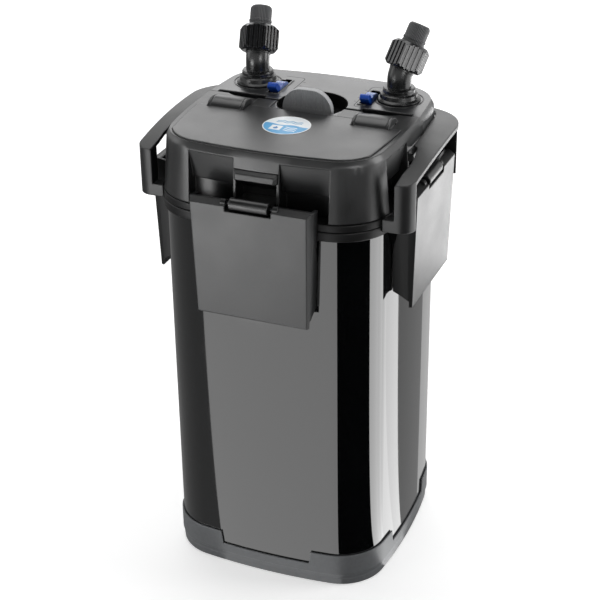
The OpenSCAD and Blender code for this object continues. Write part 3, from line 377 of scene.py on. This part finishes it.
# %% Round the edges of a copy
def softened(node, radius_mm, segments=2, from_angle=25.0):
    shape = skin_of(node)
    sharp = [e for e in shape.edges if e.is_manifold and e.calc_face_angle(0) > math.radians(from_angle)]
    bmesh.ops.bevel(shape, geom=sharp, offset=radius_mm / 1000, offset_type="OFFSET", affect="EDGES",
                    segments=segments, profile=0.5, material=-1, clamp_overlap=True, loop_slide=True)
    piece = finished(node + "_soft", shape, body_of[node], slot_of[node], finish_of(node))
    even = piece.modifiers.new("even_normals", "WEIGHTED_NORMAL")
    even.keep_sharp = True
    even.weight = 60
    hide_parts(node)
    print(f"{node}: {len(sharp)} edges rounded to {radius_mm} mm, {len(piece.data.polygons)} faces")
    return piece

# %% Which nodes are softened, and by how much
radius_mm = {
    "head_shell": 0.6, "connector_block": 0.5, "head_base": 0.5, "catch_bars": 0.5, "clip_lugs": 0.5,
    "handle_left": 0.8, "handle_right": 0.8,
    "clip_front": 0.7, "clip_rear": 0.7, "clip_left": 0.7, "clip_right": 0.7,
    "hatch": 0.7, "lock_lever": 0.35, "flow_lever_left": 0.5, "flow_lever_right": 0.5,
    "valve_drum_left": 0.4, "valve_drum_right": 0.4,
    "base_skirt": 0.7, "canister": 0.8, "rubber_feet": 0.4, "cable_gland": 0.4,
    "union_nut_left": 0.35, "union_nut_right": 0.35, "connector_left": 0.3, "connector_right": 0.3,
}
soft = {node: softened(node, radius) for node, radius in radius_mm.items()}

# %% Give some faces of a piece another finish
def face_finish(node, material, chosen):
    mesh = soft[node].data
    mesh.materials.append(material)
    faces = [face for face in mesh.polygons if chosen(face.center, face.normal)]
    for face in faces:
        face.material_index = len(mesh.materials) - 1
    print(f"{node}: {len(faces)} faces are {material.name}")

def in_box(low, high):
    return lambda p, n: all(a < abs(v) < b if i == 0 else a < v < b for i, (a, v, b) in enumerate(zip(low, p, high)))

# the can's collar is grained, not polished, and with the head's base takes a duller black as painted shade between
# head and can; the wells in the deck are painted near-black as painted shadow
face_finish("canister", finish["rim_shade_black"], lambda p, n: p.z > 0.3572)
face_finish("connector_block", finish["shadow_black"], in_box((-1, -0.012, 0.3), (0.0325, 0.056, 0.4266)))
face_finish("connector_block", finish["shadow_black"], in_box((0.0385, 0.035, 0.3), (0.0505, 0.073, 0.4266)))
# the hatch's rear edge is painted near-black as a painted shadow along the shut line
face_finish("hatch", finish["shadow_black"], in_box((-1, -0.0036, 0.4262), (0.0508, 0.0, 0.42795)))
for side in ("left", "right"):
    face_finish("connector_" + side, finish["tail_" + side], lambda p, n: p.z > 0.466)
# the bevels of a clip take a duller black than its grained face, painted shade for bevels that face away from the
# light
face_finish("clip_front", finish["clip_bevel_shade"], lambda p, n: n.y < -0.3 and max(abs(n.x), n.z) > 0.35)
face_finish("clip_rear", finish["clip_bevel_shade"], lambda p, n: n.y > 0.3 and max(abs(n.x), n.z) > 0.35)
for side, sign in (("left", -1), ("right", 1)):
    face_finish("clip_" + side, finish["clip_bevel_shade"], lambda p, n: sign * n.x > 0.3 and n.z > 0.35 or abs(n.y) > 0.6)

# %% [markdown]
# ## Nodes that stay as they are
# Pins, seals, the motor and the stacked baskets need no softer edges and are mostly hidden. They keep their
# meshes and only take their finish, through the material slots that the frame gave them.

# %% Dress the nodes that stay
foam_nodes = ["prefilter_sponge", "media_1", "media_2", "media_3", "media_4"]
for node, shown in frame["nodes"].items():
    if node in radius_mm or node in foam_nodes:
        continue
    for place in shown.material_slots:
        place.material = finish_of(node)
print("dressed", len(frame["nodes"]) - len(radius_mm) - len(foam_nodes), "nodes")

# %% [markdown]
# ## Foam blocks
# The prefilter sponge and the pads in the baskets are cut from foam with a hot wire or a blade, so they are blocks
# whose corners have relaxed and whose faces bow and ripple by about a millimetre. Cloth simulation suits stuffed
# covers. A cut block has no cover to inflate, so its faces are divided and each point is moved a little by noise,
# always inwards, which keeps it inside its basket.

# %% Make one foam block from its node
def foam_block(node, step_mm, relax_mm):
    shape = skin_of(node)
    rim = [e for e in shape.edges if e.is_manifold and e.calc_face_angle(0) > math.radians(40)]
    bmesh.ops.bevel(shape, geom=rim, offset=0.0035, offset_type="OFFSET", affect="EDGES", segments=3, profile=0.5,
                    material=-1, clamp_overlap=True)
    bmesh.ops.triangulate(shape, faces=shape.faces)
    for _ in range(6):
        long = [e for e in shape.edges if e.calc_length() > 2.2 * step_mm / 1000]
        if not long:
            break
        bmesh.ops.subdivide_edges(shape, edges=long, cuts=1)
        bmesh.ops.triangulate(shape, faces=shape.faces)
    shape.normal_update()
    moves = {v: v.normal * -(0.5 + 0.5 * noise.noise(v.co * 70)) * relax_mm / 1000 for v in shape.verts}
    for point, move in moves.items():
        point.co += move
    piece = finished(node + "_foam", shape, body_of[node], slot_of[node])
    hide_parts(node)
    print(f"{node}: {len(piece.data.polygons)} faces")
    return piece

for node in foam_nodes:
    foam_block(node, 7.0, 1.6)

# %% [markdown]
# ## The round label on the hatch
# A printed disc sits on the hatch. It is a film a quarter of a millimetre thick with a rounded rim, so it is a circle
# that is extruded and bevelled. Its design is a plain one: white above, sky blue below, a wave between them, a drop
# on a small white panel and three wavy lines. Nodes draw it from distances, so it stays crisp at any size.

# %% Cut the disc
label_centre = Vector((0.0, -0.0372, 0.428))
label_radius = 0.0212
label_top = label_centre.z
print("the label lies", round(label_top * 1000, 1), "mm above the floor")

# %% Print the disc
def label_print(centre, radius):
    material, tree, place = new_material("printed_film")
    local = add(tree, "ShaderNodeMapping", {"Vector": place, "Location": -centre / radius,
                                            "Scale": (1 / radius,) * 3}).outputs["Vector"]
    axes = add(tree, "ShaderNodeSeparateXYZ", {0: local})
    x, y = axes.outputs["X"], axes.outputs["Y"]
    def inside(value, edge, soft_edge=0.02):
        return spread(tree, value, 1.0, 0.0, edge - soft_edge, edge + soft_edge)
    def ripple(height, size, pitch):
        return math_node(tree, "SUBTRACT", y, math_node(tree, "MULTIPLY_ADD", math_node(
            tree, "SINE", math_node(tree, "MULTIPLY", x, pitch)), size, height))
    paint = blend_colour(tree, inside(ripple(0.02, 0.05, 6.0), 0.0), linear("#eef3f6"), linear("#3fa4dc"))
    for height, size in ((0.42, 0.035), (0.28, 0.035)):
        line = inside(math_node(tree, "ABSOLUTE", ripple(height, size, 16.0)), 0.035)
        short = inside(math_node(tree, "ABSOLUTE", x), 0.55)
        paint = blend_colour(tree, math_node(tree, "MULTIPLY", line, short), paint, linear("#4b9fcb"))
    for height in (-0.22, -0.38, -0.54):
        line = inside(math_node(tree, "ABSOLUTE", ripple(height, 0.025, 18.0)), 0.035)
        short = inside(math_node(tree, "ABSOLUTE", math_node(tree, "SUBTRACT", x, 0.30)), 0.26)
        paint = blend_colour(tree, math_node(tree, "MULTIPLY", line, short), paint, linear("#e6f2f9"))
    panel = math_node(tree, "MAXIMUM", math_node(tree, "ABSOLUTE", math_node(tree, "ADD", x, 0.33)),
                      math_node(tree, "ABSOLUTE", math_node(tree, "ADD", y, 0.36)))
    paint = blend_colour(tree, inside(panel, 0.24), paint, linear("#f2f5f7"))
    drop = math_node(tree, "SQRT", math_node(tree, "ADD", math_node(
        tree, "POWER", math_node(tree, "ABSOLUTE", math_node(tree, "ADD", x, 0.33)), 2.0), math_node(
        tree, "POWER", math_node(tree, "ABSOLUTE", math_node(tree, "ADD", y, 0.40)), 2.0)))
    tip = math_node(tree, "MULTIPLY_ADD", math_node(tree, "ABSOLUTE", math_node(tree, "ADD", x, 0.33)), 2.2,
                    math_node(tree, "ADD", y, 0.40))
    point = math_node(tree, "MULTIPLY", inside(tip, 0.19), inside(math_node(
        tree, "MULTIPLY", math_node(tree, "ADD", y, 0.40), -1.0), 0.0))
    paint = blend_colour(tree, math_node(tree, "MAXIMUM", inside(drop, 0.10), point), paint, linear("#2a7fc0"))
    far = math_node(tree, "SQRT", math_node(tree, "ADD", math_node(tree, "MULTIPLY", x, x),
                                            math_node(tree, "MULTIPLY", y, y)))
    paint = blend_colour(tree, inside(far, 0.955), linear("#f4f6f7"), paint)
    peel = speckle(tree, place, 2.5, 2.0)
    bump = add(tree, "ShaderNodeBump", {"Height": peel, "Distance": 0.00001, "Strength": 0.5})
    surface = add(tree, "ShaderNodeBsdfPrincipled",
                  {"Base Color": paint, "Roughness": spread(tree, peel, 0.28, 0.4), "IOR": 1.5,
                   "Normal": bump.outputs["Normal"]})
    add(tree, "ShaderNodeOutputMaterial", {"Surface": surface.outputs["BSDF"]})
    return material

# %% Lay the label on the hatch
shape = bmesh.new()
bmesh.ops.create_circle(shape, cap_ends=True, cap_tris=False, segments=96, radius=label_radius)
lifted = bmesh.ops.extrude_face_region(shape, geom=shape.faces[:])
bmesh.ops.translate(shape, verts=[g for g in lifted["geom"] if isinstance(g, bmesh.types.BMVert)], vec=(0, 0, 0.00025))
bmesh.ops.recalc_face_normals(shape, faces=shape.faces)
rim = [e for e in shape.edges if all(v.co.z > 0.0002 for v in e.verts)]
bmesh.ops.bevel(shape, geom=rim, offset=0.0001, offset_type="OFFSET", affect="EDGES", segments=2, profile=0.5,
                material=-1)
bmesh.ops.translate(shape, verts=shape.verts, vec=(label_centre.x, label_centre.y, label_top - 0.00002))
label = finished("hatch_label", shape, "hatch", "rotor_white", label_print(label_centre, label_radius), smooth=False)
print("label", round(label_radius * 2000, 1), "mm across")

# %% [markdown]
# ## The studio
# The object stands on a pale sweep. Five softboxes light it: overhead, behind, on the right, and two weak ones on the
# left and low in front. A polished can shows what stands around it, so a studio lays cards on the floor: white ones
# are bright bands in the can and black ones are dark bands. Real cards also throw a little light. Here each card is
# seen by mirror rays alone, which makes the bands easy to set but ties them to one camera.

# %% The sweep on the floor
def sweep_material():
    material, tree, place = new_material("studio_paper")
    fibre = speckle(tree, place, 1.5, 3.0)
    paper = add(tree, "ShaderNodeHueSaturation",
                {"Value": spread(tree, fibre, 0.985, 1.015), "Color": (0.86, 0.86, 0.86, 1.0)}).outputs["Color"]
    matte = add(tree, "ShaderNodeBsdfDiffuse", {"Color": paper}).outputs["BSDF"]
    seen = add(tree, "ShaderNodeLightPath").outputs["Is Camera Ray"]
    distance = add(tree, "ShaderNodeVectorMath", {0: place}, operation="LENGTH").outputs["Value"]
    lift = add(tree, "ShaderNodeEmission", {"Color": (1, 1, 1, 1), "Strength": math_node(
        tree, "MULTIPLY", seen, spread(tree, distance, 0.52, 1.0, 0.5, 2.2))}).outputs["Emission"]
    both = add(tree, "ShaderNodeAddShader", {0: matte, 1: lift}).outputs["Shader"]
    add(tree, "ShaderNodeOutputMaterial", {"Surface": both})
    return material

def staged(name, shape, material, mirror_only=True):
    mesh = bpy.data.meshes.new(name)
    shape.to_mesh(mesh)
    shape.free()
    piece = bpy.data.objects.new(name, mesh)
    piece.data.materials.append(material)
    bpy.context.scene.collection.objects.link(piece)
    if mirror_only:
        for ray in ("visible_camera", "visible_diffuse", "visible_transmission", "visible_shadow"):
            setattr(piece, ray, False)
    return piece

shape = bmesh.new()
bmesh.ops.create_grid(shape, x_segments=8, y_segments=8, size=4.0)
floor = staged("studio_floor", shape, sweep_material(), mirror_only=False)
print("the sweep is", round(floor.dimensions.x, 1), "m wide")

# %% Paint that glows evenly
def glowing(name, strength):
    material, tree, _ = new_material(name)
    glow = add(tree, "ShaderNodeEmission", {"Color": (1, 1, 1, 1), "Strength": strength}).outputs["Emission"]
    add(tree, "ShaderNodeOutputMaterial", {"Surface": glow})
    return material

# %% Cards that only mirror rays see
def card(name, strength, start, end, height, near_edge=-0.004, reach=1.6):
    """A strip of floor between two lines. Each line is (x, y, bearing from the front towards the right)."""
    shape = bmesh.new()
    near, far = [], []
    steps = max(2, int(abs(end[2] - start[2]) / 6))
    for i in range(steps + 1):
        x, y, bearing = (a + (b - a) * i / steps for a, b in zip(start, end))
        out = Vector((math.sin(math.radians(bearing)), -math.cos(math.radians(bearing)), 0.0))
        near.append(shape.verts.new(Vector((x, y, height)) + near_edge * out))
        far.append(shape.verts.new(Vector((x, y, height)) + reach * out))
    for i in range(steps):
        shape.faces.new((near[i], far[i], far[i + 1], near[i + 1]))
    return staged(name, shape, glowing(name + "_paint", strength))

lines = [(-0.104, 0.02, -175), (-0.104, -0.06, -150), (-0.043, -0.104, -39.4), (0.076, -0.104, 10.4),
         (0.100, -0.0585, 86.3), (0.100, -0.046, 112), (0.102, -0.040, 128), (0.104, -0.030, 145),
         (0.1055, -0.0143, 152.4), (0.108, 0.045, 169.5), (0.09, 0.09, 182)]
shades = [0.5, 0.19, 1.38, 0.0, 2.75, 2.5, 2.1, 1.8, 0.27, 0.62]
cards = [card(f"card_{i}", shade, lines[i], lines[i + 1], 0.0006 + 0.0002 * i) for i, shade in enumerate(shades)]
cards.append(card("card_front_far", 4.6, lines[2], (0.053, -0.104, -22.4), 0.004, 0.52, 2.2))
cards.append(card("card_right_far", 4.5, (0.105, -0.02, 152), lines[9], 0.004, 0.56, 2.4))
print(len(cards), "cards")

# %% A card that lights up the union nuts
nut_centre, nut_bearing, nut_reach, half_width = Vector((0.08, 0.05, 0.46)), math.radians(49), 1.5, 0.34
out = Vector((math.sin(nut_bearing), -math.cos(nut_bearing), 0.0))
across = out.cross(Vector((0, 0, 1)))
shape = bmesh.new()
corners = [shape.verts.new(nut_centre + nut_reach * out + side * half_width * across + Vector((0, 0, rise)))
           for side, rise in ((-1, 0.08), (1, 0.08), (1, 0.42), (-1, 0.42))]
shape.faces.new(corners)
staged("card_nut", shape, glowing("card_nut_paint", 8.0))
print("the nut card stands", nut_reach, "m away")

# %% A black ceiling
shape = bmesh.new()
bmesh.ops.create_grid(shape, x_segments=2, y_segments=2, size=3.0)
bmesh.ops.translate(shape, verts=shape.verts, vec=(0, -0.2, 2.3))
ceiling = staged("ceiling", shape, glowing("ceiling_paint", 0.05))
print("the ceiling hangs 2.3 m up")

# %% Softboxes
def softbox(name, place, target, width, height, watts):
    lamp = bpy.data.lights.new(name, "AREA")
    lamp.shape = "RECTANGLE"
    lamp.size, lamp.size_y, lamp.energy = width, height, watts
    holder = bpy.data.objects.new(name, lamp)
    holder.location = place
    holder.rotation_euler = (Vector(target) - Vector(place)).to_track_quat("-Z", "Y").to_euler()
    bpy.context.scene.collection.objects.link(holder)
    return holder

softbox("overhead", (-0.3, 0.5, 1.9), (0, 0, 0.4), 1.4, 1.2, 14)
softbox("rear_box", (-0.75, 1.9, 1.25), (0, 0, 0.4), 2.0, 1.0, 8.6)
softbox("right_box", (1.4, 0.55, 0.75), (0, 0, 0.35), 0.7, 1.3, 14)
softbox("left_box", (-1.5, -0.3, 0.9), (0, 0, 0.3), 0.5, 1.2, 3)
softbox("front_low", (-1.0, -1.4, 0.2), (0, 0, 0.3), 0.9, 0.35, 9)

# %% The room
world = bpy.data.worlds.new("studio_room")
bpy.context.scene.world = world
world.use_nodes = True
tree = world.node_tree
tree.nodes.clear()
path = add(tree, "ShaderNodeLightPath")
mirror = math_node(tree, "MAXIMUM", path.outputs["Is Glossy Ray"], path.outputs["Is Transmission Ray"])
bright = math_node(tree, "MAXIMUM", path.outputs["Is Camera Ray"], mirror)
strength = add(tree, "ShaderNodeMapRange", {"Value": bright, "To Min": 0.18, "To Max": 1.0}).outputs["Result"]
room = add(tree, "ShaderNodeBackground", {"Color": (1, 1, 1, 1), "Strength": strength}).outputs["Background"]
add(tree, "ShaderNodeOutputWorld", {"Surface": room})
bpy.context.scene.view_settings.view_transform = "Standard"
